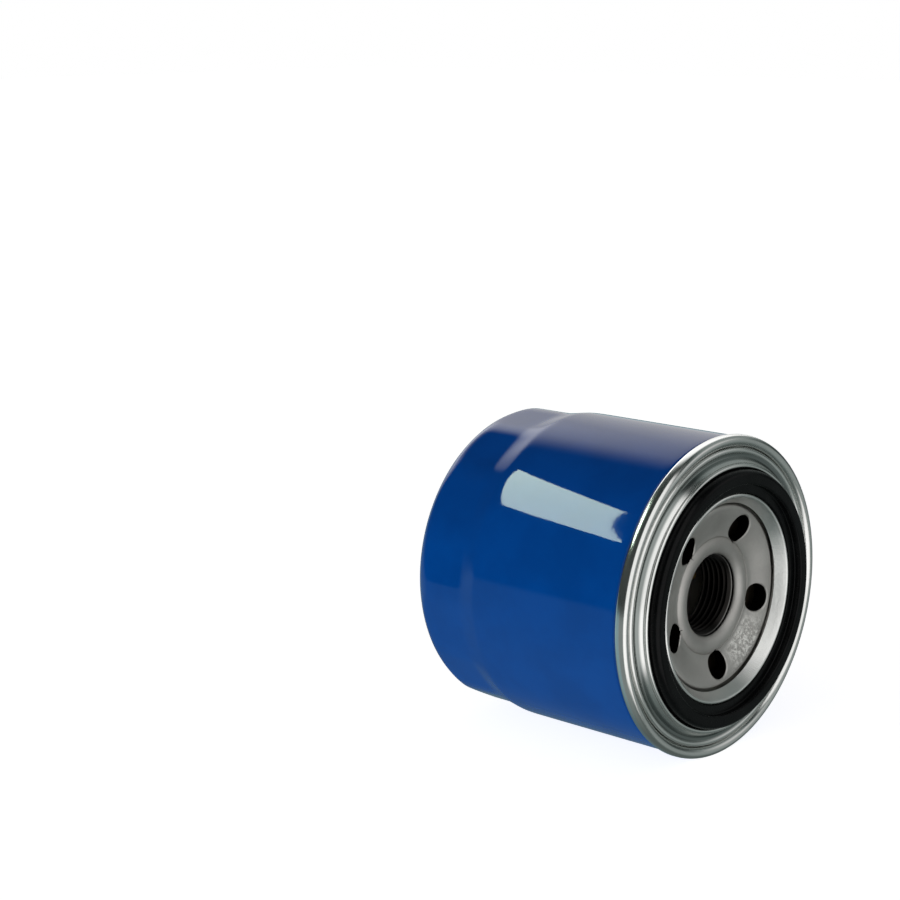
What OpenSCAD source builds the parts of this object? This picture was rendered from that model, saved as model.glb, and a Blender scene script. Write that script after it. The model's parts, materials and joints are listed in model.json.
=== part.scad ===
// Spin-on oil filter with an M20 x 1.5 thread, lying on its side.
// Every profile is drawn as [radius, height], with height 0 on the gasket's sealing
// face and growing toward the dome. lay() turns that axis onto +Y, so that the
// sealing face looks toward -Y and +Z is up.

/* [Casing] */
// Radius of the round casing wall
casing_r = 39.4; // [39.3:0.05:39.4]
// Thickness of the drawn casing sheet
casing_sheet = 0.5; // [0.45:0.01:0.5]
// Height of the flat at the middle of the dome
overall_h = 77.7; // [77:0.1:78.2]
// Height at which the wall turns into the dome's shoulder
shoulder_z = 64.4; // [64.2:0.1:64.6]
// Radius of the shoulder bend
shoulder_r = 8.8; // [8.6:0.1:9]
// Radius of the shallow crown arc
crown_r = 70; // [66:1:76]

/* [Wrench flats] */
// Number of flats pressed around the dome end
flat_count = 15; // [12:1:16]
// Distance across the inscribed circle of the flats
across_flats = 76.2; // [75.8:0.1:77]
// Height at which the flats start to sink into the wall
flat_start_z = 50.5; // [48:0.5:52]
// Height over which a flat sinks to its full depth
flat_run = 5.2; // [4:0.1:7]
// Turn of the flats about the axis
flat_turn = -3; // [-12:1:12]

/* [Rim and lid] */
// Thickness of the seaming lid sheet
lid_sheet = 0.6; // [0.55:0.01:0.6]
// Radius of the middle of the rolled seam
seam_r = 38.5; // [38.5:0.01:38.55]

/* [Thread plate] */
// Minor radius of the M20 x 1.5 thread
thread_minor_r = 9.19; // [9.1:0.01:9.3]
// Number of oil inlet holes
inlet_count = 5; // [4:1:6]
// Radius of an oil inlet hole
inlet_r = 3.4; // [2.8:0.1:3.4]
// Radius of the circle that the inlet holes stand on
inlet_ring_r = 17.9; // [17.9:0.1:18.2]
// Turn of the inlet holes about the axis
inlet_turn = 13; // [-36:1:36]

/* [Gasket] */
// Outer radius of the sealing gasket
gasket_outer_r = 31.9; // [31.7:0.05:31.95]
// Inner radius of the sealing gasket
gasket_inner_r = 26.15; // [26.15:0.05:26.5]

/* [Filter element] */
// Number of pleats in the filter media
pleat_count = 48; // [40:1:50]
// Thickness of the filter media
media_sheet = 0.6; // [0.4:0.05:0.62]
// Outer radius of the end caps
cap_r = 34; // [33.8:0.1:35]
// Height of the media between the end caps
media_h = 41.8; // [41.6:0.1:41.8]

/* [Springs and valves] */
// Wire diameter of the element spring
element_wire = 2; // [1.6:0.1:2]
// Turns of the element spring
element_turns = 3; // [2.5:0.5:3.5]
// Wire diameter of the bypass spring
bypass_wire = 0.9; // [0.7:0.1:1]
// Turns of the bypass spring
bypass_turns = 3.5; // [2.5:0.5:4]
// Radius of the bypass valve poppet
poppet_r = 8; // [7.5:0.1:8.4]

/* [Hidden] */
$fn = 96;

// Colours
blue_paint = [0.02, 0.14, 0.42];
tinned_steel = [0.72, 0.73, 0.72];
bare_steel = [0.58, 0.58, 0.56];
black_rubber = [0.06, 0.06, 0.06];
brown_rubber = [0.16, 0.13, 0.1];
media_yellow = [0.86, 0.78, 0.52];
glue_grey = [0.3, 0.33, 0.36];

// Casing heights and dome centres
casing_foot_z = 9.2;
shoulder_centre_r = casing_r - 0.4 - shoulder_r;
shoulder_end = 65;
crown_centre_r = shoulder_centre_r + (shoulder_r - crown_r) * cos(shoulder_end);
crown_centre_z = shoulder_z + (shoulder_r - crown_r) * sin(shoulder_end);
flat_r = across_flats / 2;

// Thread plate levels
plate_front_z = 7.2;
plate_back_z = 10.2;
bore_mouth_z = 8.6;
collar_end_z = 17.5;
collar_r = 12.8;
boss_foot_r = 14.5;
bead_r = 12.6;
bead_z = 6.3;

// Element levels, from the thread end to the dome
cap_sheet = 0.6;
cap_rim = 2.3;
front_cap_z = 17.6;
front_glue_z = front_cap_z + cap_sheet;
glue_h = 1;
media_z = front_glue_z + glue_h;
rear_glue_z = media_z + media_h;
rear_cap_z = rear_glue_z + glue_h;
flange_z = rear_cap_z + cap_sheet;
seat_z = flange_z + cap_sheet;
spring_foot_z = seat_z + 0.7;
dome_inside_z = overall_h - casing_sheet;
tube_r = 12.9;
tube_sheet = 0.5;
glue_outer_r = cap_r - cap_sheet;

// Media fold radii, at the middle of the sheet
fold_inner_r = 14.5;
fold_outer_r = 32.2;
fold_inner_w = 0.95;
fold_outer_w = 0.75;

// Bypass valve levels, measured down from the flange
bypass_wall_r = 9.6;
bypass_floor_z = flange_z - 10.6;
seal_gap = 0.3;
seal_z = flange_z - seal_gap - 0.7;
poppet_z = seal_z - 1;
stem_r = 1.5;

function unit(v) = v / norm(v);
function left(v) = [-v[1], v[0]];

// Points of an arc about [cx, cz], from angle a0 to angle a1, in n steps
function arc(cx, cz, r, a0, a1, n) =
  [for (i = [0:n]) let (a = a0 + (a1 - a0) * i / n) [cx + r * cos(a), cz + r * sin(a)]];

// Side step of a sheet's surface from its centre line at point i, mitred at the bends
function side_step(p, i) =
  let (last = len(p) - 1)
  let (before = i == 0 ? unit(p[1] - p[0]) : unit(p[i] - p[i - 1]))
  let (after = i == last ? before : unit(p[i + 1] - p[i]))
  let (middle = unit(left(before) + left(after)))
  middle / (middle * left(before));

// Outline of a sheet of thickness t whose centre line is the open path p
function sheet(p, t) = concat(
  [for (i = [0:len(p) - 1]) p[i] + side_step(p, i) * t / 2],
  [for (i = [len(p) - 1:-1:0]) p[i] - side_step(p, i) * t / 2]);

// Casing hook, from the wall down into the rolled seam and back up
casing_hook = concat(
  [[casing_r - 0.25, casing_foot_z]],
  arc(seam_r + 0.02, 7.55, 0.63, 0, -90, 4),
  arc(seam_r + 0.02, 6.3, 0.62, 112.5, 180, 3),
  arc(seam_r, 5.65, 0.6, 180, 360, 8),
  [[seam_r + 0.6, 5.75]]);

// Lid section, from the cover hook round the rim and over to the gasket's inner lip
lid_line = concat(
  [[seam_r, 5.5]],
  arc(seam_r + 0.6, 5.75, 0.6, 180, 0, 8),
  arc(seam_r, 5.4, 1.2, 0, -180, 12),
  arc(seam_r - 1.55, 5.4, 0.35, 0, 180, 6),
  arc(seam_r - 2.35, 4.75, 0.45, 0, -125, 6),
  arc(34.26, 4.3, 1, 55, 90, 3),
  arc(34, 4.3, 1, 90, 180, 6),
  arc(32.65, 2.8, 0.35, 0, -180, 6),
  arc(31.7, 6.3, 0.6, 0, 90, 4),
  arc(26.4, 6.3, 0.6, 90, 180, 4),
  arc(25.5, 2.6, 0.3, 0, -146, 6),
  [[23.6, 4.85]]);

// Face side of the thread plate: flat, riser, dished floor with the inlets, and the bead
plate_face = concat(
  [[36.5, plate_front_z], [23.6, plate_front_z], [23, 5.5]],
  arc(22.3, 6.1, 1.1, -40, -100, 4),
  [[20.5, 5.3], [19, 5.75], [17, 6.5], [15.6, 6.93], [boss_foot_r, 7]],
  arc(bead_r, bead_z + 2.93, 2.93, -49.6, -90, 5),
  [for (a = [-100:-20:-180]) [bead_r + 2.5 * cos(a), bead_z + 2.1 + 2.1 * sin(a)]]);

// Back of the thread plate, from the bore out to the edge
plate_back = [[thread_minor_r, bore_mouth_z + 0.4], [thread_minor_r, collar_end_z],
  [collar_r, collar_end_z], [collar_r, 9.9], [16, 9.9], [19, 8.9], [22, 9],
  [23.5, plate_back_z], [36.5, plate_back_z]];

gasket_section = concat(
  arc(gasket_outer_r - 1, 1, 1, 0, -90, 4),
  arc(29, 0.6, 0.6, -90, -180, 4),
  [[28.4, 1.9], [gasket_inner_r, 1.9], [gasket_inner_r, 6.3], [gasket_inner_r + 0.3, 6.6]],
  [[gasket_outer_r - 0.3, 6.6], [gasket_outer_r, 6.3]]);

module lay() rotate([-90, 0, 0]) children();

module ring(inner_r, outer_r, z, h) {
  translate([0, 0, z]) difference() {
    cylinder(r = outer_r, h = h);
    translate([0, 0, -1]) cylinder(r = inner_r, h = h + 2);
  }
}

// Solid of revolution of the casing's outside, drawn inward by inset
module dome_body(inset) {
  shoulder = arc(shoulder_centre_r, shoulder_z, shoulder_r - inset, 0, shoulder_end, 8);
  crown_end = asin((overall_h - inset - crown_centre_z) / (crown_r - inset));
  crown = arc(crown_centre_r, crown_centre_z, crown_r - inset, shoulder_end, crown_end, 5);
  wall = [[0, casing_foot_z], [casing_r - inset, casing_foot_z],
    [casing_r - inset, flat_start_z]];
  difference() {
    rotate_extrude() polygon(concat(wall, shoulder, crown, [[0, overall_h - inset]]));
    for (i = [0:flat_count - 1]) rotate(flat_turn + i * 360 / flat_count) flat_cut(inset);
  }
}

// One flat with the sloping run that leads into it
module flat_cut(inset) {
  w = 24;
  sink = casing_r - flat_r;
  translate([casing_r - inset, -w / 2, flat_start_z])
    rotate([0, -atan(sink / flat_run), 0])
      cube([10, w, norm([sink, flat_run])]);
  translate([flat_r - inset, -w / 2, flat_start_z + flat_run]) cube([10, w, 40]);
}

module casing() {
  color(blue_paint) lay() {
    difference() {
      dome_body(0);
      dome_body(casing_sheet);
    }
    rotate_extrude() polygon(sheet(casing_hook, casing_sheet));
  }
}

module seaming_lid() {
  color(tinned_steel) lay() rotate_extrude() polygon(sheet(lid_line, lid_sheet));
}

module thread_plate() {
  color(bare_steel) lay() difference() {
    rotate_extrude() polygon(concat(plate_face, plate_back));
    for (i = [0:inlet_count - 1]) rotate(inlet_turn + i * 360 / inlet_count)
      translate([inlet_ring_r, 0, 4]) cylinder(r = inlet_r, h = 8);
  }
}

module sealing_gasket() {
  color(black_rubber) lay() rotate_extrude() polygon(gasket_section);
}

// Bead of compound between the two hooks at the top of the seam
module seam_sealant() {
  color(brown_rubber) lay() ring(seam_r - 0.3, seam_r + 0.3, 4.57, 0.21);
}

// Stiff neck of the anti-drain valve, pushed over the plate's collar
module anti_drain_neck() {
  color(brown_rubber) lay() ring(collar_r, collar_r + 2.2, 13.6, front_cap_z - 13.6);
}

// Soft skirt of the anti-drain valve, which lies over the inlet holes
module anti_drain_flap() {
  color(brown_rubber) lay() rotate_extrude()
    polygon([[15.4, 12.2], [25.8, 10.6], [25.8, 11.8], [15.4, 13.4]]);
}

// Disc with a rim; the rim points along +z when up is 1, and along -z when it is -1
module end_cap(hole_r, z, up) {
  rim_z = up > 0 ? z : z - cap_rim;
  ring(hole_r, cap_r, z, cap_sheet);
  ring(glue_outer_r, cap_r, rim_z, cap_sheet + cap_rim);
}

module front_end_cap() {
  color(tinned_steel) lay() end_cap(13.9, front_cap_z, 1);
}

module rear_end_cap() {
  color(tinned_steel) lay() end_cap(bypass_wall_r + 0.05, rear_cap_z, -1);
}

module front_glue() {
  color(glue_grey) lay() ring(tube_r + tube_sheet, glue_outer_r, front_glue_z, glue_h);
}

module rear_glue() {
  color(glue_grey) lay() ring(tube_r + tube_sheet, glue_outer_r, rear_glue_z, glue_h);
}

// Corners of one pleat at radius r, with a fold w wide; turn is in degrees
function fold(r, w, turn) =
  let (half = asin(w / 2 / r))
  [[r * cos(turn - half), r * sin(turn - half)], [r * cos(turn + half), r * sin(turn + half)]];

// Closed zigzag at offset d from the middle of the sheet
function pleat_ring(d) =
  let (pitch = 360 / pleat_count)
  [for (i = [0:pleat_count - 1]) for (p = concat(
    fold(fold_outer_r + d, fold_outer_w + 2 * d, i * pitch),
    fold(fold_inner_r + d, fold_inner_w - 2 * d, (i + 0.5) * pitch))) p];

module filter_media() {
  color(media_yellow) lay() translate([0, 0, media_z]) linear_extrude(media_h) difference() {
    polygon(pleat_ring(media_sheet / 2));
    polygon(pleat_ring(-media_sheet / 2));
  }
}

// Channel crimped along the fold where the two ends of the media meet
module media_seam_clip() {
  slot_w = 1.5;
  wall = 0.35;
  color(tinned_steel) lay() translate([30.3, -slot_w / 2 - wall, media_z]) difference() {
    cube([2.7, slot_w + 2 * wall, media_h]);
    translate([-1, wall, -1]) cube([3.3, slot_w, media_h + 2]);
  }
}

module centre_tube() {
  hole_r = 1.5;
  rows = 6;
  row_gap = media_h / rows;
  color(bare_steel) lay() difference() {
    ring(tube_r, tube_r + tube_sheet, front_glue_z, rear_cap_z - front_glue_z);
    for (row = [0:rows - 1]) for (turn = [0:45:315])
      translate([0, 0, media_z + (row + 0.5) * row_gap]) rotate([0, 90, turn])
        translate([0, 0, tube_r - 1]) cylinder(r = hole_r, h = 3);
  }
}

module bypass_body() {
  wall = 0.6;
  floor_h = 0.8;
  window_w = 5;
  window_h = 5;
  color(bare_steel) lay() difference() {
    union() {
      ring(6.5, 12.5, flange_z, cap_sheet);
      ring(bypass_wall_r - wall, bypass_wall_r, bypass_floor_z, flange_z - bypass_floor_z);
      ring(stem_r + 0.05, bypass_wall_r, bypass_floor_z, floor_h);
    }
    for (turn = [0, 90]) rotate(turn)
      translate([-15, -window_w / 2, bypass_floor_z + 2]) cube([30, window_w, window_h]);
  }
}

module bypass_poppet() {
  stem_h = poppet_z - bypass_floor_z + 2;
  color(tinned_steel) lay() {
    translate([0, 0, poppet_z]) cylinder(r = poppet_r, h = 1);
    translate([0, 0, poppet_z - stem_h]) cylinder(r = stem_r, h = stem_h);
  }
}

module bypass_seal() {
  color(black_rubber) lay() ring(4, poppet_r, seal_z, 0.7);
}

// Pressed cup that carries the element spring on top of the bypass valve
module spring_seat() {
  outer_r = 17;
  wall = 0.6;
  color(tinned_steel) lay() {
    ring(8, outer_r, seat_z, spring_foot_z - seat_z);
    ring(outer_r - wall, outer_r, seat_z, 2.7);
  }
}

// Round wire wound from radius r0 at height z0 to radius r1 at height z1
module coil(r0, r1, z0, z1, turns, wire_r, sides) {
  steps = turns * 20;
  points = [for (i = [0:steps]) let (t = i / steps) let (a = 360 * turns * t)
    let (r = r0 + (r1 - r0) * t) let (z = z0 + (z1 - z0) * t)
    for (j = [0:sides - 1]) let (b = 360 * j / sides) let (q = r + wire_r * cos(b))
    [q * cos(a), q * sin(a), z + wire_r * sin(b)]];
  walls = [for (i = [0:steps - 1]) for (j = [0:sides - 1])
    let (k = (j + 1) % sides) let (near = i * sides) let (far = near + sides)
    [near + j, near + k, far + k, far + j]];
  first_end = [[for (j = [sides - 1:-1:0]) j]];
  last_end = [[for (j = [0:sides - 1]) steps * sides + j]];
  polyhedron(points, concat(first_end, walls, last_end), convexity = 8);
}

module element_spring() {
  half = element_wire / 2 + 0.05;
  color(bare_steel) lay()
    coil(15, 12, spring_foot_z + half, dome_inside_z - half, element_turns,
      element_wire / 2, 8);
}

module bypass_spring() {
  half = bypass_wire / 2 + 0.05;
  color(bare_steel) lay()
    coil(5.5, 5.5, bypass_floor_z + 0.8 + half, poppet_z - half, bypass_turns,
      bypass_wire / 2, 6);
}

casing();
seaming_lid();
thread_plate();
sealing_gasket();
seam_sealant();
anti_drain_neck();
anti_drain_flap();
element_spring();
front_end_cap();
front_glue();
filter_media();
media_seam_clip();
centre_tube();
rear_glue();
rear_end_cap();
bypass_body();
bypass_poppet();
bypass_seal();
bypass_spring();
spring_seat();
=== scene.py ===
"""Looks of a spin-on oil filter that lies on its side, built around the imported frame.

The filter's axis is +Y and its gasket's face is the plane y = 0. Sections are drawn as
(radius, height) in millimetres, with height measured along +Y, and placed by spot().
"""
import json
import math

import bmesh
import bpy
from mathutils import Matrix, Vector


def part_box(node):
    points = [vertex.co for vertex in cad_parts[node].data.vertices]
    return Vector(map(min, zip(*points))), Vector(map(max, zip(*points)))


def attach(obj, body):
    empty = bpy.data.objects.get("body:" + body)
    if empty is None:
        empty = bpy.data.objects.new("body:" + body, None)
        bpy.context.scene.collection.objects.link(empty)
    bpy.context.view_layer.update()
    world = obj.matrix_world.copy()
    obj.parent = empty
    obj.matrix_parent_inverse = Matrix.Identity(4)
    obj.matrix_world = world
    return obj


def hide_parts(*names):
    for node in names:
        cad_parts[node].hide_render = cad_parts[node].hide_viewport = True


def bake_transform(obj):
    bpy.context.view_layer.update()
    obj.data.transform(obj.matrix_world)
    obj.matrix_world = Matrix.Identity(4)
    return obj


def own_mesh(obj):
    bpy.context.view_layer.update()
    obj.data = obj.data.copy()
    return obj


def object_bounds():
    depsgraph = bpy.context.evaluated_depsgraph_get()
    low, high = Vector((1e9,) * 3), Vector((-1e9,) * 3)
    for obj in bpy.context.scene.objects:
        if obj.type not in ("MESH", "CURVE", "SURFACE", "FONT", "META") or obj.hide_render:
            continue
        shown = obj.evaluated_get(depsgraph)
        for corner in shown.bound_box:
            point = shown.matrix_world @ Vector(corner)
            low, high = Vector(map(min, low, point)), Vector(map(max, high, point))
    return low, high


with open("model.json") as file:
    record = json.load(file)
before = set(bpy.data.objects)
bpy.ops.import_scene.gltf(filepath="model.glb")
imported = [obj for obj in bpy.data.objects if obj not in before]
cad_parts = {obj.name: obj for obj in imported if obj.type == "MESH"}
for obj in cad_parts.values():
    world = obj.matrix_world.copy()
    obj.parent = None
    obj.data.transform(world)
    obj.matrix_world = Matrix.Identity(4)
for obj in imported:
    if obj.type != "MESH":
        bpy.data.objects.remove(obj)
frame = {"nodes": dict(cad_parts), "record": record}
cad_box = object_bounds()

MM = 0.001
TURN = 2 * math.pi


def top_mm(node):
    """Highest corner of a CAD node, in millimetres."""
    return [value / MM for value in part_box(node)[1]]


def low_mm(node):
    """Lowest corner of a CAD node, in millimetres."""
    return [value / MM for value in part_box(node)[0]]


# Driving sizes, from the frame
CAN_R, CAN_END, _ = top_mm("casing")
RIM_R = top_mm("seaming_lid")[0]
SEAM_R = RIM_R - 1.5
GASKET_R, GASKET_BACK, _ = top_mm("sealing_gasket")
PLATE_R, COLLAR_END, _ = top_mm("thread_plate")
NECK_R, NECK_END, _ = top_mm("anti_drain_neck")
FLAP_R = top_mm("anti_drain_flap")[0]
THREAD = [m for m in frame["record"]["mounts"] if m["name"] == "engine_thread"][0]
THREAD_MINOR_R = THREAD["dims"]["r_mm"]

# Sheet and thread sizes
CAN_SHEET = 0.5
LID_SHEET = 0.6
THREAD_PITCH = 1.5
THREAD_DEPTH = 0.81

# Angle between faces, in degrees, over which an edge is sharp
CREASE = 32


# ---------------------------------------------------------------- outlines


def arc(centre_r, centre_z, radius, start, end, steps):
    """Points of an arc in a section, angles in degrees from the radius axis."""
    points = []
    for i in range(steps + 1):
        angle = math.radians(start + (end - start) * i / steps)
        points.append((centre_r + radius * math.cos(angle), centre_z + radius * math.sin(angle)))
    return points


def curve(points, steps):
    """A smooth curve through the points, with steps spans between each two."""
    ends = [points[0]] + list(points) + [points[-1]]
    result = []
    for i in range(len(points) - 1):
        a, b, c, d = ends[i : i + 4]
        for step in range(steps):
            t = step / steps
            result.append(tuple(
                0.5 * (2 * b[k] + (c[k] - a[k]) * t
                       + (2 * a[k] - 5 * b[k] + 4 * c[k] - d[k]) * t * t
                       + (3 * b[k] - a[k] - 3 * c[k] + d[k]) * t ** 3)
                for k in range(2)))
    return result + [tuple(points[-1])]


def sheet_sides(path, thickness):
    """The two sides of a sheet whose middle is the open path, both in the path's order."""
    points = [Vector(p) for p in path]
    left, right = [], []
    for i, point in enumerate(points):
        before = (points[i] - points[i - 1]).normalized() if i else None
        after = (points[i + 1] - point).normalized() if i + 1 < len(points) else before
        before = before or after
        middle = Vector((-before.y - after.y, before.x + after.x)).normalized()
        reach = thickness / 2 / middle.dot(Vector((-before.y, before.x)))
        left.append(tuple(point + middle * reach))
        right.append(tuple(point - middle * reach))
    return left, right


def sheet(path, thickness):
    """Closed outline of a sheet."""
    left, right = sheet_sides(path, thickness)
    return left + right[::-1]


# ---------------------------------------------------------------- meshes


def spot(radius, height, turn):
    """A point in the frame. turn runs clockwise from the top, seen from the thread's end."""
    return (radius * math.sin(turn) * MM, height * MM, radius * math.cos(turn) * MM)


def build(name, points, faces, crease=CREASE):
    """A smooth-shaded object with sharp edges where faces meet at over crease degrees."""
    mesh = bpy.data.meshes.new(name)
    mesh.from_pydata(points, [], faces)
    work = bmesh.new()
    work.from_mesh(mesh)
    bmesh.ops.remove_doubles(work, verts=work.verts, dist=1e-7)
    bmesh.ops.dissolve_degenerate(work, edges=work.edges, dist=1e-8)
    bmesh.ops.recalc_face_normals(work, faces=work.faces)
    work.to_mesh(mesh)
    work.free()
    mesh.shade_smooth()
    mesh.set_sharp_from_angle(angle=math.radians(crease))
    piece = bpy.data.objects.new(name, mesh)
    bpy.context.scene.collection.objects.link(piece)
    return piece


def revolve(name, outline, columns=288, shape=None, crease=CREASE):
    """Turns a closed outline about the axis. shape(radius, height, turn) may press it in."""
    points, rows, faces = [], [], []
    for radius, height in outline:
        if radius < 1e-6:
            rows.append([len(points)] * columns)
            points.append(spot(0, height, 0))
            continue
        rows.append(range(len(points), len(points) + columns))
        for i in range(columns):
            turn = TURN * i / columns
            pressed = shape(radius, height, turn) if shape else radius
            points.append(spot(pressed, height, turn))
    for near, far in zip(rows, rows[1:] + rows[:1]):
        for i in range(columns):
            j = (i + 1) % columns
            corners = dict.fromkeys((near[i], near[j], far[j], far[i]))
            if len(corners) > 2:
                faces.append(tuple(corners))
    return build(name, points, faces, crease)


def join(piece, other):
    """Adds the mesh of other to piece and welds the rows that they share."""
    work = bmesh.new()
    work.from_mesh(piece.data)
    work.from_mesh(other.data)
    bmesh.ops.remove_doubles(work, verts=work.verts, dist=2e-6)
    bmesh.ops.recalc_face_normals(work, faces=work.faces)
    work.to_mesh(piece.data)
    work.free()
    bpy.data.objects.remove(other)
    piece.data.shade_smooth()
    piece.data.set_sharp_from_angle(angle=math.radians(CREASE))


def subtract(piece, cutter):
    """Cuts cutter out of piece."""
    cut = piece.modifiers.new("cut", "BOOLEAN")
    cut.operation = "DIFFERENCE"
    cut.solver = "EXACT"
    cut.object = cutter
    bpy.context.view_layer.objects.active = piece
    bpy.ops.object.modifier_apply(modifier=cut.name)
    bpy.data.objects.remove(cutter)


# ---------------------------------------------------------------- casing

FLATS = 15
FLAT_R = 38.1
FLAT_TURN = math.radians(-33)
FLAT_CORNER_R = 14
FLAT_START = 50.5
FLAT_RUN = 5.2
FLAT_SOFTNESS = 0.16
FLAT_BLEND = 0.35
SHOULDER_Z = 64.4
SHOULDER_R = 8.8
SHOULDER_END = 65
CROWN_R = 70
CAN_TAPER = 0.4
CAN_FOOT = 9.2
FLAT_LEAD = 8
WALL_STEPS_START = 47
WALL_STEPS = 40


def polygon_radius(turn):
    """Radius of the fifteen-sided outline, whose corners are rounded."""
    half = math.pi / FLATS
    off = (turn - FLAT_TURN + half) % (2 * half) - half
    centre = (FLAT_R - FLAT_CORNER_R) / math.cos(half)
    tangent = math.atan2(centre * math.sin(half), FLAT_R)
    if abs(off) < tangent:
        return FLAT_R / math.cos(off)
    lean = half - abs(off)
    return centre * math.cos(lean) + math.sqrt(
        FLAT_CORNER_R ** 2 - (centre * math.sin(lean)) ** 2)


def flat_depth(height):
    """0 on the round wall and 1 on the flats, with a straight run between soft ends."""
    t = (height - FLAT_START) / FLAT_RUN
    return 0.5 * (1 + math.hypot(t, FLAT_SOFTNESS) - math.hypot(t - 1, FLAT_SOFTNESS))


def press_flats(inset):
    """Pressing function of the can's wall, inset from its outside."""
    def pressed(radius, height, turn):
        if height < FLAT_START - FLAT_LEAD:
            return radius
        flat = polygon_radius(turn) - inset
        pushed = 0.5 * (radius + flat - math.hypot(radius - flat, FLAT_BLEND))
        return radius + (pushed - radius) * flat_depth(height)
    return pressed


def dome_outline(inset):
    """Shoulder and crown, from the top of the wall to the middle of the dome."""
    centre_r = CAN_R - CAN_TAPER - SHOULDER_R
    lean = math.radians(SHOULDER_END)
    crown_r = centre_r + (SHOULDER_R - CROWN_R) * math.cos(lean)
    crown_z = SHOULDER_Z + (SHOULDER_R - CROWN_R) * math.sin(lean)
    crown_end = math.degrees(math.asin((CAN_END - inset - crown_z) / (CROWN_R - inset)))
    shoulder = arc(centre_r, SHOULDER_Z, SHOULDER_R - inset, 0, SHOULDER_END, 22)
    crown = arc(crown_r, crown_z, CROWN_R - inset, SHOULDER_END, crown_end, 14)
    end_z = crown[-1][1]
    flat = [(crown[-1][0] * share, end_z) for share in (0.97, 0.9, 0.6, 0.3, 0)]
    return shoulder + crown[1:] + flat


def wall_outline(inset):
    """Wall from its foot up to the shoulder, closely stepped where the flats sink in."""
    radius = CAN_R - inset
    round_wall = [(radius, z) for z in (CAN_FOOT, 14, 22, 30, 38, 44)]
    pressed = []
    for i in range(WALL_STEPS):
        z = WALL_STEPS_START + (SHOULDER_Z - WALL_STEPS_START) * i / WALL_STEPS
        taper = CAN_TAPER * max(0, z - FLAT_START) / (SHOULDER_Z - FLAT_START)
        pressed.append((radius - taper, z))
    return round_wall + pressed


def casing():
    """Drawn can: body hook in the seam, round wall, fifteen flats and dome."""
    hook = [(CAN_R - CAN_SHEET / 2, CAN_FOOT)]
    hook += arc(SEAM_R + 0.02, 7.55, 0.63, 0, -90, 8)
    hook += arc(SEAM_R + 0.02, 6.3, 0.62, 101.25, 180, 7)
    hook += arc(SEAM_R, 5.65, 0.6, 180, 360, 14)
    hook += [(SEAM_R + 0.6, 5.75)]
    one, other = sheet_sides(hook, CAN_SHEET)
    outer, inner = (one, other) if one[0][0] > other[0][0] else (other, one)
    outside = outer[::-1] + wall_outline(0)[1:] + dome_outline(0)
    inside = inner[::-1] + wall_outline(CAN_SHEET)[1:] + dome_outline(CAN_SHEET)
    press_out = press_flats(0)
    press_in = press_flats(CAN_SHEET)
    outline = outside + inside[::-1]
    inner_rows = set(inside)

    def shape(radius, height, turn):
        press = press_in if (radius, height) in inner_rows else press_out
        return press(radius, height, turn)

    piece = revolve("casing_can", outline, columns=FLATS * 24, shape=shape, crease=40)
    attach(piece, "housing")
    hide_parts("casing")
    return piece


# ---------------------------------------------------------------- lid, gasket and plate


def seaming_lid():
    """Tinned lid: rolled rim, small crest and valley, gasket groove and inner lip."""
    # Cover hook inside the seam, and the rolled rim around it
    path = [(SEAM_R, 5.5)]
    path += arc(SEAM_R + 0.6, 5.75, 0.6, 180, 0, 12)
    path += curve([(SEAM_R + 1.2, 5.6), (SEAM_R + 1.17, 4.95), (SEAM_R + 0.95, 4.25),
                   (SEAM_R + 0.45, 3.85), (SEAM_R - 0.15, 3.85), (SEAM_R - 0.7, 4.15),
                   (SEAM_R - 1.08, 4.7), (SEAM_R - 1.2, 5.4)], 7)
    # Channel, small crest, valley, and the crest beside the gasket
    path += arc(SEAM_R - 1.55, 5.4, 0.35, 0, 180, 12)[1:]
    path += arc(SEAM_R - 2.35, 4.75, 0.45, 0, -130, 14)
    path += curve([path[-1], (35.6, 4.6), (35.2, 4.72), (34.6, 4.72), (34.2, 4.45),
                   (33.7, 3.9), (33.2, 3.35), (33.02, 3.05), (33.0, 2.8)], 6)[1:-1]
    path += arc(32.65, 2.8, 0.35, 0, -180, 12)
    # Gasket groove, and the inner lip that folds toward the plate
    path += arc(31.7, 6.3, 0.6, 0, 90, 8)
    path += arc(26.4, 6.3, 0.6, 90, 180, 8)
    path += arc(25.5, 2.6, 0.3, 0, -146, 12)
    path += [(24.6, 3.39), (23.6, 4.85)]
    piece = revolve("seaming_lid_sheet", sheet(path, LID_SHEET), columns=360, crease=50)
    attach(piece, "housing")
    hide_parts("seaming_lid")
    return piece


def sealing_gasket():
    """Rubber ring with a broad face and a lower step inside it."""
    outline = arc(GASKET_R - 1.5, 1.5, 1.5, 0, -90, 14)
    outline += arc(29, 0.6, 0.6, -90, -180, 8)
    outline += arc(28.1, 1.6, 0.3, 0, 90, 5)
    outline += arc(26.5, 2.25, 0.35, -90, -180, 5)
    outline += [(26.15, 6.3), (26.45, GASKET_BACK), (GASKET_R - 0.3, GASKET_BACK)]
    outline += [(GASKET_R, 6.3)]
    piece = revolve("sealing_gasket_ring", outline, columns=288, crease=40)
    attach(piece, "housing")
    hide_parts("sealing_gasket")
    return piece


PLATE_FRONT = 7.2
PLATE_BACK = 10.2
BEAD_R = 12.6
BEAD_Z = 6.3
FOOT_R = 14.5
FOOT_Z = 7.0
MOUTH_R = 10.15
MOUTH_Z = 8.4
THREAD_COLUMNS = 192
INLETS = 5
INLET_R = 3.45
INLET_RING_R = 17.9
INLET_TURN = math.radians(31)

# The dished floor between the bead's foot and the riser, from the outside in
DISH = curve([(22.95, 5.6), (22.5, 5.1), (21.7, 5.0), (20.4, 5.28), (19, 5.75), (17.2, 6.45),
              (15.8, 6.88), (FOOT_R + 0.2, 6.97)], 6)


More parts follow.
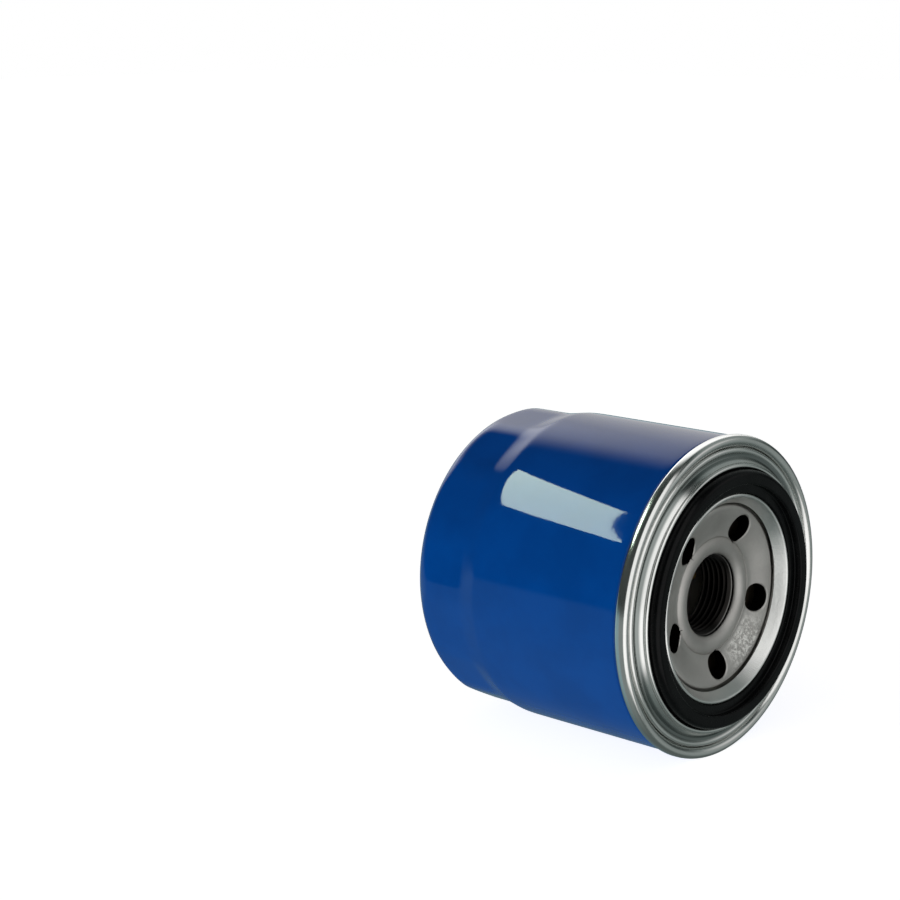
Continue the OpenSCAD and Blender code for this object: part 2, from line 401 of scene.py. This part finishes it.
def dish_height(radius):
    """Height of the dished floor at a radius."""
    for (r1, z1), (r0, z0) in zip(DISH, DISH[1:]):
        if r0 <= radius <= r1:
            return z0 + (z1 - z0) * (radius - r0) / (r1 - r0)
    return FOOT_Z if radius < FOOT_R else DISH[0][1]


def inlet_cutter(turn):
    """Cutter for one inlet hole, which widens where it meets the dished floor."""
    sides, edge = 64, 0.4
    centre_x, centre_y = INLET_RING_R * math.sin(turn), INLET_RING_R * math.cos(turn)
    points, rows, faces = [], [], []
    bend = [(edge * (1 - math.cos(a)), edge * (1 - math.sin(a)))
            for a in [math.radians(12 * k) for k in range(5)]]
    flare = bend + [(edge * 2, -edge * 1.4)]
    for widen, rise in [(0, None)] + flare:
        row = []
        for i in range(sides):
            angle = TURN * i / sides
            x = centre_x + INLET_R * math.cos(angle)
            y = centre_y + INLET_R * math.sin(angle)
            wide_x = centre_x + (INLET_R + widen) * math.cos(angle)
            wide_y = centre_y + (INLET_R + widen) * math.sin(angle)
            height = 14 if rise is None else dish_height(math.hypot(x, y)) + rise
            row.append(len(points))
            points.append((wide_x * MM, height * MM, wide_y * MM))
        rows.append(row)
    for near, far in zip(rows, rows[1:]):
        for i in range(sides):
            j = (i + 1) % sides
            faces.append((near[i], near[j], far[j], far[i]))
    faces += [tuple(rows[0]), tuple(rows[-1])]
    return build("cutter", points, faces)


def thread_wall():
    """Helical M20 x 1.5 thread with a countersunk mouth, as a wall open at both ends."""
    per_turn = 16
    crest = per_turn // 4
    root = per_turn // 8
    flank = (per_turn - crest - root) // 2
    points, rows, faces = [], [], []
    length = COLLAR_END - MOUTH_Z
    count = math.ceil(length / THREAD_PITCH + 1) * per_turn

    def thread_radius(step):
        """Radius at a step of the pitch: crest, flank, root, flank."""
        step %= per_turn
        if step <= crest:
            share = 0
        elif step < crest + flank:
            share = (step - crest) / flank
        elif step <= crest + flank + root:
            share = 1
        else:
            share = (per_turn - step) / flank
        return THREAD_MINOR_R + THREAD_DEPTH * share

    for i in range(THREAD_COLUMNS):
        turn = TURN * i / THREAD_COLUMNS
        row = []
        for k in range(count + 1):
            height = MOUTH_Z + THREAD_PITCH * (k / per_turn - 1 + i / THREAD_COLUMNS)
            height = min(max(height, MOUTH_Z), COLLAR_END)
            mouth = MOUTH_R - (height - MOUTH_Z) * 0.9
            tail = MOUTH_R - (COLLAR_END - height) * 0.9
            radius = max(thread_radius(k), mouth, tail)
            if height in (MOUTH_Z, COLLAR_END):
                radius = MOUTH_R
            row.append(len(points))
            points.append(spot(radius, height, turn))
        rows.append(row)
    for i in range(THREAD_COLUMNS):
        near = rows[i]
        far = rows[(i + 1) % THREAD_COLUMNS]
        shift = per_turn if i == THREAD_COLUMNS - 1 else 0
        for k in range(count):
            low, high = k + shift, k + 1 + shift
            if high <= count:
                faces.append((near[k], near[k + 1], far[high], far[low]))
    return build("thread_wall", points, faces, crease=30)


def thread_plate():
    """Pressed plate: outer flat, dished floor with inlets, bead, and threaded collar."""
    outline = [(PLATE_R - 0.15, PLATE_FRONT), (23.75, PLATE_FRONT), (23.15, 6.9)]
    outline += DISH
    outline += [(FOOT_R + 0.07, 7.14)]
    outline += arc(BEAD_R, BEAD_Z + 2.93, 2.93, -49.6, -90, 10)
    for angle in range(-98, -178, -8):
        lean = math.radians(angle)
        outline.append((BEAD_R + (BEAD_R - MOUTH_R) * math.cos(lean),
                        MOUTH_Z + (MOUTH_Z - BEAD_Z) * math.sin(lean)))
    outline.append((MOUTH_R, MOUTH_Z))
    back = [(MOUTH_R, COLLAR_END), (12.5, COLLAR_END), (12.8, COLLAR_END - 0.3), (12.8, 10.6)]
    back += arc(13.5, 10.6, 0.7, 180, 270, 5)
    back += curve([(16, 9.9), (19, 8.9), (22, 9.0), (23.5, PLATE_BACK)], 5)
    back += [(PLATE_R - 0.15, PLATE_BACK), (PLATE_R, PLATE_BACK - 0.15),
             (PLATE_R, PLATE_FRONT + 0.15)]
    solid = outline + [(MOUTH_R, MOUTH_Z + 3), (MOUTH_R, COLLAR_END - 3)] + back
    piece = revolve("thread_plate_pressing", solid, columns=THREAD_COLUMNS)
    for k in range(INLETS):
        subtract(piece, inlet_cutter(INLET_TURN + TURN * k / INLETS))
    open_bore(piece)
    join(piece, thread_wall())
    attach(piece, "housing")
    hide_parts("thread_plate")
    return piece


def open_bore(piece):
    """Removes the plain bore's wall, which the thread takes the place of."""
    work = bmesh.new()
    work.from_mesh(piece.data)
    limit = (MOUTH_R + 0.02) * MM
    bore = [face for face in work.faces
            if all(math.hypot(v.co.x, v.co.z) < limit for v in face.verts)]
    bmesh.ops.delete(work, geom=bore, context="FACES")
    work.to_mesh(piece.data)
    work.free()


def anti_drain_valve():
    """One rubber moulding: a thick neck on the collar and a soft skirt over the inlets."""
    neck_in = 12.8
    outline = [(neck_in, NECK_END), (NECK_R - 0.3, NECK_END)]
    outline += arc(NECK_R - 0.3, NECK_END - 0.3, 0.3, 90, 0, 4)
    outline += arc(NECK_R + 1.0, 14.6, 1.0, 180, 255, 6)
    outline += curve([(17.2, 13.35), (21, 12.6), (FLAP_R - 0.5, 11.65)], 6)
    outline += arc(FLAP_R - 0.45, 11.15, 0.45, 80, -80, 7)
    outline += curve([(FLAP_R - 0.5, 10.75), (21, 11.45), (17, 12.15)], 6)
    outline += curve([(17, 12.15), (14.4, 12.9), (neck_in, 13.7)], 5)[1:]
    piece = revolve("anti_drain_valve", outline, columns=144, crease=60)
    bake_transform(piece)
    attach(piece, "housing")
    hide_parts("anti_drain_neck", "anti_drain_flap")
    return piece


# ---------------------------------------------------------------- springs


def coil(name, start_r, end_r, foot, head, turns, wire_r):
    """Round wire wound at an even pitch, from foot to head and from start_r to end_r."""
    sides, per_turn = 12, 40
    steps = int(turns * per_turn)
    points, faces = [], []
    for i in range(steps + 1):
        share = i / steps
        turn = TURN * turns * share
        centre_r = start_r + (end_r - start_r) * share
        centre_z = foot + wire_r + (head - foot - 2 * wire_r) * share
        for j in range(sides):
            lean = TURN * j / sides
            points.append(spot(centre_r + wire_r * math.cos(lean),
                               centre_z + wire_r * math.sin(lean), turn))
    for i in range(steps):
        for j in range(sides):
            k = (j + 1) % sides
            near, far = i * sides, (i + 1) * sides
            faces.append((near + j, near + k, far + k, far + j))
    faces += [tuple(range(sides)), tuple(range(steps * sides, (steps + 1) * sides))]
    return build(name, points, faces, crease=50)


def element_spring():
    """Coil spring from the element's seat to the dome."""
    low, high = low_mm("element_spring"), top_mm("element_spring")
    piece = coil("element_spring_wire", 15, 12, low[1], high[1], 3, 1.0)
    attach(piece, "housing")
    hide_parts("element_spring")
    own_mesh(piece)
    return piece


def bypass_spring():
    """Coil spring of the bypass valve."""
    low, high = low_mm("bypass_spring"), top_mm("bypass_spring")
    piece = coil("bypass_spring_wire", 5.5, 5.5, low[1], high[1], 3.5, 0.45)
    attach(piece, "element")
    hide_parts("bypass_spring")
    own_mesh(piece)
    return piece


# ---------------------------------------------------------------- materials


def add(tree, kind, inputs=None, out=0, **settings):
    """Adds a node, sets its properties and its sockets, and returns one of its outputs."""
    node = tree.nodes.new(kind)
    for key, value in settings.items():
        setattr(node, key, value)
    for key, value in (inputs or {}).items():
        if isinstance(value, bpy.types.NodeSocket):
            tree.links.new(value, node.inputs[key])
        else:
            node.inputs[key].default_value = value
    return node.outputs[out]


def maths(tree, operation, a, b=0.0, c=0.0):
    """Result of one operation on up to three values."""
    return add(tree, "ShaderNodeMath", {0: a, 1: b, 2: c}, operation=operation)


def product(tree, *factors):
    """Product of several values."""
    result = factors[0]
    for factor in factors[1:]:
        result = maths(tree, "MULTIPLY", result, factor)
    return result


def total(tree, *terms):
    """Sum of several values."""
    result = terms[0]
    for term in terms[1:]:
        result = maths(tree, "ADD", result, term)
    return result


def ramp(tree, value, low, high, to_low=0.0, to_high=1.0):
    """Smooth step from to_low, where value is low, to to_high, where it is high."""
    return add(tree, "ShaderNodeMapRange",
               {0: value, 1: low, 2: high, 3: to_low, 4: to_high},
               interpolation_type="SMOOTHSTEP")


def tint(tree, share, first, second):
    """Colour between first, at 0, and second, at 1."""
    return add(tree, "ShaderNodeMix", {0: share, 6: first, 7: second}, out=2, data_type="RGBA")


def noise(tree, vector, scale, detail=3.0, roughness=0.55):
    """Cloudy value between 0 and 1. scale is in clouds to the unit of vector."""
    return add(tree, "ShaderNodeTexNoise",
               {"Vector": vector, "Scale": scale, "Detail": detail, "Roughness": roughness})


def rgb(red, green, blue):
    """Linear colour for a socket."""
    return (red, green, blue, 1.0)


def material(name):
    """A new material, its tree, its shader node, and object coordinates in metres."""
    made = bpy.data.materials.new(name)
    made.use_nodes = True
    tree = made.node_tree
    shader = tree.nodes["Principled BSDF"]
    place = add(tree, "ShaderNodeTexCoord", out=3)
    return made, tree, shader, place


def around(tree, place):
    """(turn about the axis in turns, radius, height) of a point, as three values."""
    split = tree.nodes.new("ShaderNodeSeparateXYZ")
    tree.links.new(place, split.inputs[0])
    x, y, z = split.outputs
    turn = maths(tree, "DIVIDE", maths(tree, "ARCTAN2", x, z), TURN)
    radius = maths(tree, "SQRT", maths(tree, "ADD", maths(tree, "MULTIPLY", x, x),
                                       maths(tree, "MULTIPLY", z, z)))
    return turn, radius, y


def bump(tree, shader, height, strength, distance, socket="Normal"):
    """Bends the shader's normal by a height."""
    normal = add(tree, "ShaderNodeBump",
                 {"Strength": strength, "Distance": distance, "Height": height})
    tree.links.new(normal, shader.inputs[socket])


# Soft edges of the marks on the lid and the plate, among them painted shade and a painted glint:
# where each begins and where it is full.
# Radii and heights are in metres, and turns run clockwise from the top.
# Painted shade in the lid's valley.
VALLEY_SHADE_INSIDE = (0.0337, 0.0342)
VALLEY_SHADE_OUTSIDE = (0.0358, 0.0353)
LIP_OUTSIDE = (0.0257, 0.0253)
LIP_BACK = (0.0056, 0.0050)
# Painted shade and oil: the inlets' walls and the threaded bore.
INLETS_OUTSIDE = (0.0222, 0.0218)
THREAD_EDGE = (0.0104, 0.0099)
# Worn patch on the dish, lightened partly as a painted glint.
SCUFF_GLINT_INSIDE = (0.0150, 0.0165)
SCUFF_GLINT_OUTSIDE = (0.0222, 0.0212)
SCUFF_GLINT_START = (0.31, 0.36)
SCUFF_GLINT_END = (0.46, 0.41)


def blue_enamel():
    """Glossy blue enamel with a faint orange peel and fine dust."""
    made, tree, shader, place = material("blue_enamel")
    cloud = noise(tree, place, 60, 4)
    shade = tint(tree, ramp(tree, cloud, 0.35, 0.65), rgb(0.0, 0.058, 0.305),
                 rgb(0.0, 0.066, 0.345))
    tree.links.new(shade, shader.inputs["Base Color"])
    speck = ramp(tree, noise(tree, place, 900, 2), 0.62, 0.72)
    rough = maths(tree, "MULTIPLY_ADD", speck, 0.12, 0.3)
    tree.links.new(rough, shader.inputs["Roughness"])
    peel = noise(tree, place, 420, 2, 0.4)
    ripple = noise(tree, place, 90, 2, 0.4)
    height = maths(tree, "ADD", maths(tree, "MULTIPLY", peel, 0.35), ripple)
    for socket in ("Normal", "Coat Normal"):
        bump(tree, shader, height, 0.03, 0.0002, socket)
    shader.inputs["Specular IOR Level"].default_value = 0.0
    shader.inputs["Coat Weight"].default_value = 1.0
    shader.inputs["Coat Roughness"].default_value = 0.03
    shader.inputs["Coat IOR"].default_value = 1.33
    return made


def tinned_steel():
    """Bright tin plate: faint stains, painted shade and reflection that darken the valley, and
    scratches round the inner lip.
    """
    made, tree, shader, place = material("tinned_steel")
    turn, radius, height = around(tree, place)
    stain = noise(tree, place, 140, 4)
    shade = tint(tree, stain, rgb(0.62, 0.63, 0.61), rgb(0.74, 0.74, 0.72))
    # Painted shade and reflection: the valley's tin is darkened to stand in for the dark
    # reflections and shade that fall there.
    valley = product(tree, ramp(tree, radius, *VALLEY_SHADE_INSIDE),
                     ramp(tree, radius, *VALLEY_SHADE_OUTSIDE))
    shade = tint(tree, valley, shade, rgb(0.22, 0.24, 0.23))
    tree.links.new(shade, shader.inputs["Base Color"])
    drawn = add(tree, "ShaderNodeCombineXYZ",
                {0: maths(tree, "MULTIPLY", turn, 3.0), 1: maths(tree, "MULTIPLY", radius, 6.0)})
    scratches = noise(tree, drawn, 160, 3, 0.7)
    lip = maths(tree, "MULTIPLY", ramp(tree, radius, *LIP_OUTSIDE),
                ramp(tree, height, *LIP_BACK))
    rough = maths(tree, "MULTIPLY_ADD", stain, 0.14, 0.12)
    rough = maths(tree, "ADD", rough, maths(tree, "MULTIPLY", lip, 0.12))
    tree.links.new(rough, shader.inputs["Roughness"])
    relief = product(tree, scratches, lip, 5.0)
    bump(tree, shader, relief, 0.3, 0.00006)
    shader.inputs["Metallic"].default_value = 1.0
    return made


def plate_steel():
    """Matte, slightly warm steel: oil and painted shade that darken the thread and the inlets, and
    a scuff patch lightened partly as a painted glint.
    """
    made, tree, shader, place = material("plate_steel")
    stain = noise(tree, place, 110, 5, 0.6)
    shade = tint(tree, ramp(tree, stain, 0.3, 0.7), rgb(0.39, 0.38, 0.362),
                 rgb(0.46, 0.45, 0.43))
    turn, radius, _ = around(tree, place)
    facing = tree.nodes.new("ShaderNodeSeparateXYZ")
    tree.links.new(add(tree, "ShaderNodeNewGeometry", out=1), facing.inputs[0])
    side = ramp(tree, maths(tree, "ABSOLUTE", facing.outputs[1]), 0.45, 0.2)
    # Painted shade: the inlets' side walls and the threaded bore are darkened to near black, partly
    # for oil and partly for the shade inside them.
    punched = maths(tree, "MULTIPLY", side, ramp(tree, radius, *INLETS_OUTSIDE))
    thread = ramp(tree, radius, *THREAD_EDGE)
    oil_and_shade = maths(tree, "MAXIMUM", punched, thread)
    shade = tint(tree, oil_and_shade, shade, rgb(0.014, 0.013, 0.012))
    # A worn patch of bare steel made lighter, partly real wear and partly a painted glint.
    scuff_and_glint = product(tree, ramp(tree, radius, *SCUFF_GLINT_INSIDE), ramp(tree, radius, *SCUFF_GLINT_OUTSIDE),
                      ramp(tree, turn, *SCUFF_GLINT_START), ramp(tree, turn, *SCUFF_GLINT_END))
    flaked = noise(tree, place, 1100, 3, 0.7)
    bared_and_glint = product(tree, scuff_and_glint, ramp(tree, flaked, 0.44, 0.6), 0.75)
    shade = tint(tree, bared_and_glint, shade, rgb(0.85, 0.84, 0.81))
    tree.links.new(shade, shader.inputs["Base Color"])
    grain = noise(tree, place, 2600, 2)
    rough = maths(tree, "MULTIPLY_ADD", grain, 0.16, 0.47)
    rough = maths(tree, "MULTIPLY_ADD", oil_and_shade, -0.2, rough)
    tree.links.new(rough, shader.inputs["Roughness"])
    dents = noise(tree, place, 260, 2)
    flakes = product(tree, flaked, scuff_and_glint, 70.0)
    relief = maths(tree, "MULTIPLY_ADD", dents, 2.0, maths(tree, "ADD", grain, flakes))
    bump(tree, shader, relief, 0.25, 0.00004)
    shader.inputs["Metallic"].default_value = 1.0
    return made


def rubber(name, colour, low_rough, high_rough, shine):
    """Moulded rubber with faint flow marks."""
    made, tree, shader, place = material(name)
    turn, radius, height = around(tree, place)
    cloud = noise(tree, place, 160, 4)
    pale = rgb(*[channel * 1.7 + 0.002 for channel in colour])
    tree.links.new(tint(tree, ramp(tree, cloud, 0.4, 0.75), rgb(*colour), pale),
                   shader.inputs["Base Color"])
    flow = add(tree, "ShaderNodeCombineXYZ",
               {0: maths(tree, "MULTIPLY", turn, 0.25), 1: radius, 2: height})
    marks = noise(tree, flow, 500, 3)
    rough = ramp(tree, marks, 0.3, 0.7, low_rough, high_rough)
    tree.links.new(rough, shader.inputs["Roughness"])
    bump(tree, shader, maths(tree, "ADD", marks, cloud), 0.03, 0.00005)
    shader.inputs["Specular IOR Level"].default_value = shine
    return made


def worked_metal(name, dark, light, roughness):
    """Pressed or drawn steel with a soft grain."""
    made, tree, shader, place = material(name)
    cloud = noise(tree, place, 130, 4)
    tree.links.new(tint(tree, cloud, rgb(*dark), rgb(*light)), shader.inputs["Base Color"])
    grain = noise(tree, place, 1500, 2)
    rough = maths(tree, "MULTIPLY_ADD", grain, 0.15, roughness)
    tree.links.new(rough, shader.inputs["Roughness"])
    bump(tree, shader, grain, 0.2, 0.00004)
    shader.inputs["Metallic"].default_value = 1.0
    return made


def filter_paper():
    """Resin-treated paper: fibres, and a fine crepe across the pleats."""
    made, tree, shader, place = material("filter_paper")
    turn, _, height = around(tree, place)
    fibres = noise(tree, place, 1400, 6, 0.7)
    tree.links.new(tint(tree, fibres, rgb(0.5, 0.38, 0.17), rgb(0.78, 0.66, 0.38)),
                   shader.inputs["Base Color"])
    crepe = add(tree, "ShaderNodeCombineXYZ", {0: turn, 1: maths(tree, "MULTIPLY", height, 40)})
    bump(tree, shader, maths(tree, "ADD", noise(tree, crepe, 30), fibres), 0.5, 0.0001)
    shader.inputs["Roughness"].default_value = 0.9
    return made


def potting():
    """Cured grey plastisol with small bubbles."""
    made, tree, shader, place = material("potting")
    cells = add(tree, "ShaderNodeTexVoronoi", {"Vector": place, "Scale": 700.0})
    cloud = noise(tree, place, 200, 3)
    tree.links.new(tint(tree, cloud, rgb(0.1, 0.12, 0.15), rgb(0.18, 0.2, 0.23)),
                   shader.inputs["Base Color"])
    tree.links.new(maths(tree, "MULTIPLY_ADD", cloud, 0.25, 0.35), shader.inputs["Roughness"])
    bump(tree, shader, ramp(tree, cells, 0.0, 0.3), 0.3, 0.0001)
    return made


def paint_piece(piece, made):
    """Gives a piece one material in every slot."""
    if not piece.material_slots:
        piece.data.materials.append(made)
    for holder in piece.material_slots:
        holder.material = made


def dress_all(pieces):
    """Every piece and every CAD node that still shows gets its material."""
    enamel, tin, plate = blue_enamel(), tinned_steel(), plate_steel()
    black = rubber("gasket_black", (0.0015, 0.0015, 0.0018), 0.22, 0.3, 0.1)
    brown = rubber("valve_brown", (0.022, 0.016, 0.01), 0.35, 0.55, 0.45)
    sealing = rubber("seam_compound", (0.12, 0.1, 0.08), 0.6, 0.8, 0.45)
    wire = worked_metal("spring_wire", (0.2, 0.19, 0.18), (0.38, 0.37, 0.35), 0.32)
    caps = worked_metal("cap_tin", (0.5, 0.5, 0.48), (0.66, 0.66, 0.64), 0.25)
    tube = worked_metal("tube_steel", (0.32, 0.31, 0.29), (0.48, 0.47, 0.44), 0.35)
    paper, glue = filter_paper(), potting()
    looks = {"casing_can": enamel, "seaming_lid_sheet": tin, "thread_plate_pressing": plate,
             "sealing_gasket_ring": black, "anti_drain_valve": brown,
             "element_spring_wire": wire, "bypass_spring_wire": wire}
    for piece in pieces:
        paint_piece(piece, looks[piece.name])
    node_looks = {"seam_sealant": sealing, "front_end_cap": caps, "rear_end_cap": caps,
                  "front_glue": glue, "rear_glue": glue, "filter_media": paper,
                  "media_seam_clip": caps, "centre_tube": tube, "bypass_body": tube,
                  "bypass_poppet": caps, "bypass_seal": black, "spring_seat": caps}
    for node, made in node_looks.items():
        paint_piece(frame["nodes"][node], made)


# ---------------------------------------------------------------- camera and studio

VIEW_TURN = math.radians(-47.85)
VIEW_RISE = math.radians(12.08)
VIEW_LENS = 83.5
VIEW_DISTANCE = 0.5067
VIEW_SIDE = -0.06634
VIEW_LIFT = 0.03592
RIM_MIDDLE = Vector((0, 0.0039, 0))

# WINDOW_BACK points away from the lit face, and WINDOW_LONG_SIDE runs along the longer side
WINDOW_PLACE = (-0.36, 0.486, 0.493)
WINDOW_BACK = (-0.057, -0.575, 0.816)
WINDOW_LONG_SIDE = (-0.785, 0.531, 0.319)
WINDOW_SIZE = (0.566, 0.174)
WINDOW_RADIANCE = 16.4
WINDOW_COLOUR = (0.8, 1.0, 0.82)

# Where reflections see a white screen, and the middle of the pale patch behind the filter
SCREEN_WAY = (-0.35, -0.93, 0)
REAR_WAY = (0.33, 0.83, 0.43)


def view_axes():
    """Right, forward and up of the camera."""
    right = Vector((math.cos(VIEW_TURN), math.sin(VIEW_TURN), 0))
    level = Vector((-math.sin(VIEW_TURN), math.cos(VIEW_TURN), 0))
    forward = level * math.cos(VIEW_RISE) - Vector((0, 0, math.sin(VIEW_RISE)))
    return right, forward, right.cross(forward)


def camera():
    """Camera that looks past the rim, which sits right of and below the middle."""
    right, forward, up = view_axes()
    data = bpy.data.cameras.new("camera")
    data.lens = VIEW_LENS
    data.sensor_width = 36
    data.clip_start = 0.01
    lens = bpy.data.objects.new("camera", data)
    bpy.context.scene.collection.objects.link(lens)
    lens.location = RIM_MIDDLE + right * VIEW_SIDE + up * VIEW_LIFT - forward * VIEW_DISTANCE
    lens.rotation_euler = forward.to_track_quat("-Z", "Y").to_euler()
    bpy.context.scene.camera = lens


def window():
    """Rectangular lamp with an even radiance, which only reflections see."""
    data = bpy.data.lights.new("window", "AREA")
    data.shape = "RECTANGLE"
    data.size, data.size_y = WINDOW_SIZE
    data.energy = WINDOW_RADIANCE * math.pi * WINDOW_SIZE[0] * WINDOW_SIZE[1]
    data.color = WINDOW_COLOUR
    lamp = bpy.data.objects.new("window", data)
    lamp.location = WINDOW_PLACE
    back = Vector(WINDOW_BACK).normalized()
    side = Vector(WINDOW_LONG_SIDE)
    side = (side - back * side.dot(back)).normalized()
    axes = Matrix((side, back.cross(side), back)).transposed()
    lamp.rotation_euler = axes.to_euler()
    lamp.visible_diffuse = False
    bpy.context.scene.collection.objects.link(lamp)


def toward(tree, split, direction):
    """Cosine between the way a ray goes and a direction."""
    unit = Vector(direction).normalized()
    result = maths(tree, "MULTIPLY", split.outputs[0], unit.x)
    result = maths(tree, "MULTIPLY_ADD", split.outputs[1], unit.y, result)
    return maths(tree, "MULTIPLY_ADD", split.outputs[2], unit.z, result)


def mirrored_room(tree, split):
    """Colour and level of the room that reflections see, by the way that their rays go.

    Each ramp on x, y or z is one soft edge of a thing in the room.
    """
    x, y, z = split.outputs

    # Table, which is brighter behind the filter
    behind = product(tree, ramp(tree, y, 0.3, 0.6), ramp(tree, z, 0.05, -0.1))
    table = product(tree, ramp(tree, z, -0.06, -0.14), ramp(tree, x, -0.6, 0.2, 0.25, 0.09),
                    maths(tree, "MULTIPLY_ADD", behind, 0.8, 1.0))

    # Right wall, which is brighter higher up, and its pale upper part toward the front
    wall = product(tree, ramp(tree, x, 0.17, 0.45), ramp(tree, z, 0.0, 0.6, 0.8, 1.4),
                   ramp(tree, z, -0.14, 0.0), ramp(tree, y, 0.1, 0.4))
    upper = product(tree, ramp(tree, x, 0.3, 0.6), ramp(tree, z, 0.1, 0.35),
                    ramp(tree, y, 0.5, 0.3), 0.26)

    # White screen at the front left, whose edges are upright
    flat_share = maths(tree, "SQRT", maths(tree, "MAXIMUM", 1e-4, maths(
        tree, "SUBTRACT", 1.0, maths(tree, "MULTIPLY", z, z))))
    heading = maths(tree, "DIVIDE", toward(tree, split, SCREEN_WAY), flat_share)
    screen = product(tree, ramp(tree, heading, 0.76, 0.9), ramp(tree, z, -0.8, -0.62), 1.15)

    # Pale front right, and pale patches high and low behind the filter
    front = product(tree, ramp(tree, y, -0.3, -0.6), ramp(tree, z, -0.3, 0.2, 0.2, 0.42),
                    ramp(tree, z, 0.7, 0.45), ramp(tree, x, 0.1, 0.5))
    rear = ramp(tree, toward(tree, split, REAR_WAY), 0.92, 0.985, 0.0, 1.1)
    rear_low = product(tree, ramp(tree, y, 0.72, 0.88), ramp(tree, z, 0.0, -0.1),
                       ramp(tree, z, -0.5, -0.3), 0.2)

    level = total(tree, table, screen, 0.045, front, upper, rear_low, wall, rear)
    cast = tint(tree, ramp(tree, level, 0.05, 0.7), rgb(0.82, 1, 0.97), rgb(1, 1, 1))
    cast = tint(tree, behind, cast, rgb(0.56, 0.86, 0.94))
    return cast, level


def room():
    """World that is white to the eye and lights matte surfaces softly from the left.

    Reflections see mirrored_room() instead.
    """
    world = bpy.data.worlds.new("room")
    bpy.context.scene.world = world
    world.use_nodes = True
    tree = world.node_tree
    tree.nodes.clear()
    way = add(tree, "ShaderNodeTexCoord", out=0)
    split = tree.nodes.new("ShaderNodeSeparateXYZ")
    tree.links.new(way, split.inputs[0])
    cast, level = mirrored_room(tree, split)
    mirrored = add(tree, "ShaderNodeBackground", {"Color": cast, "Strength": level})

    x, _, z = split.outputs
    left = product(tree, ramp(tree, x, 0.2, -0.9), ramp(tree, z, -0.3, 0.6, 1.4, 0.1))
    soft = maths(tree, "MULTIPLY_ADD", left, 2.0, 0.13)
    lighting = add(tree, "ShaderNodeBackground", {"Color": rgb(1, 1, 1), "Strength": soft})

    white = add(tree, "ShaderNodeBackground", {"Color": rgb(1, 1, 1), "Strength": 1.0})
    seen = tree.nodes.new("ShaderNodeLightPath")
    mixed = add(tree, "ShaderNodeMixShader",
                {0: seen.outputs["Is Glossy Ray"], 1: lighting, 2: mirrored})
    mixed = add(tree, "ShaderNodeMixShader", {0: seen.outputs["Is Camera Ray"], 1: mixed, 2: white})
    output = tree.nodes.new("ShaderNodeOutputWorld")
    tree.links.new(mixed, output.inputs["Surface"])


def floor():
    """Plain pale floor under the rim, with a glow of its own that makes it nearly white.

    The glow is weaker and tinted where it lights the filter, and reflections see the
    room's table in the floor's place.
    """
    level = cad_box[0][2]
    reach = 4.0
    mesh = bpy.data.meshes.new("floor")
    corners = [(-reach, -reach, level), (reach, -reach, level), (reach, reach, level),
               (-reach, reach, level)]
    mesh.from_pydata(corners, [], [(0, 1, 2, 3)])
    ground = bpy.data.objects.new("floor", mesh)
    bpy.context.scene.collection.objects.link(ground)
    made, tree, shader, place = material("floor_paper")
    grain = noise(tree, place, 300, 2)
    tree.links.new(tint(tree, grain, rgb(0.76, 0.76, 0.76), rgb(0.8, 0.8, 0.8)),
                   shader.inputs["Base Color"])
    shader.inputs["Roughness"].default_value = 0.9
    shader.inputs["Specular IOR Level"].default_value = 0.0
    seen = add(tree, "ShaderNodeLightPath")
    tree.links.new(tint(tree, seen, rgb(0.7, 1, 0.85), rgb(1, 1, 1)),
                   shader.inputs["Emission Color"])
    tree.links.new(maths(tree, "MULTIPLY_ADD", seen, 0.36, 0.5),
                   shader.inputs["Emission Strength"])
    mesh.materials.append(made)
    ground.visible_glossy = False


def studio():
    """Room, floor and window, and plain view colours."""
    room()
    floor()
    window()
    bpy.context.scene.view_settings.view_transform = "Standard"


# ---------------------------------------------------------------- the scene

camera()
studio()
dress_all([casing(), seaming_lid(), sealing_gasket(), thread_plate(), anti_drain_valve(),
           element_spring(), bypass_spring()])
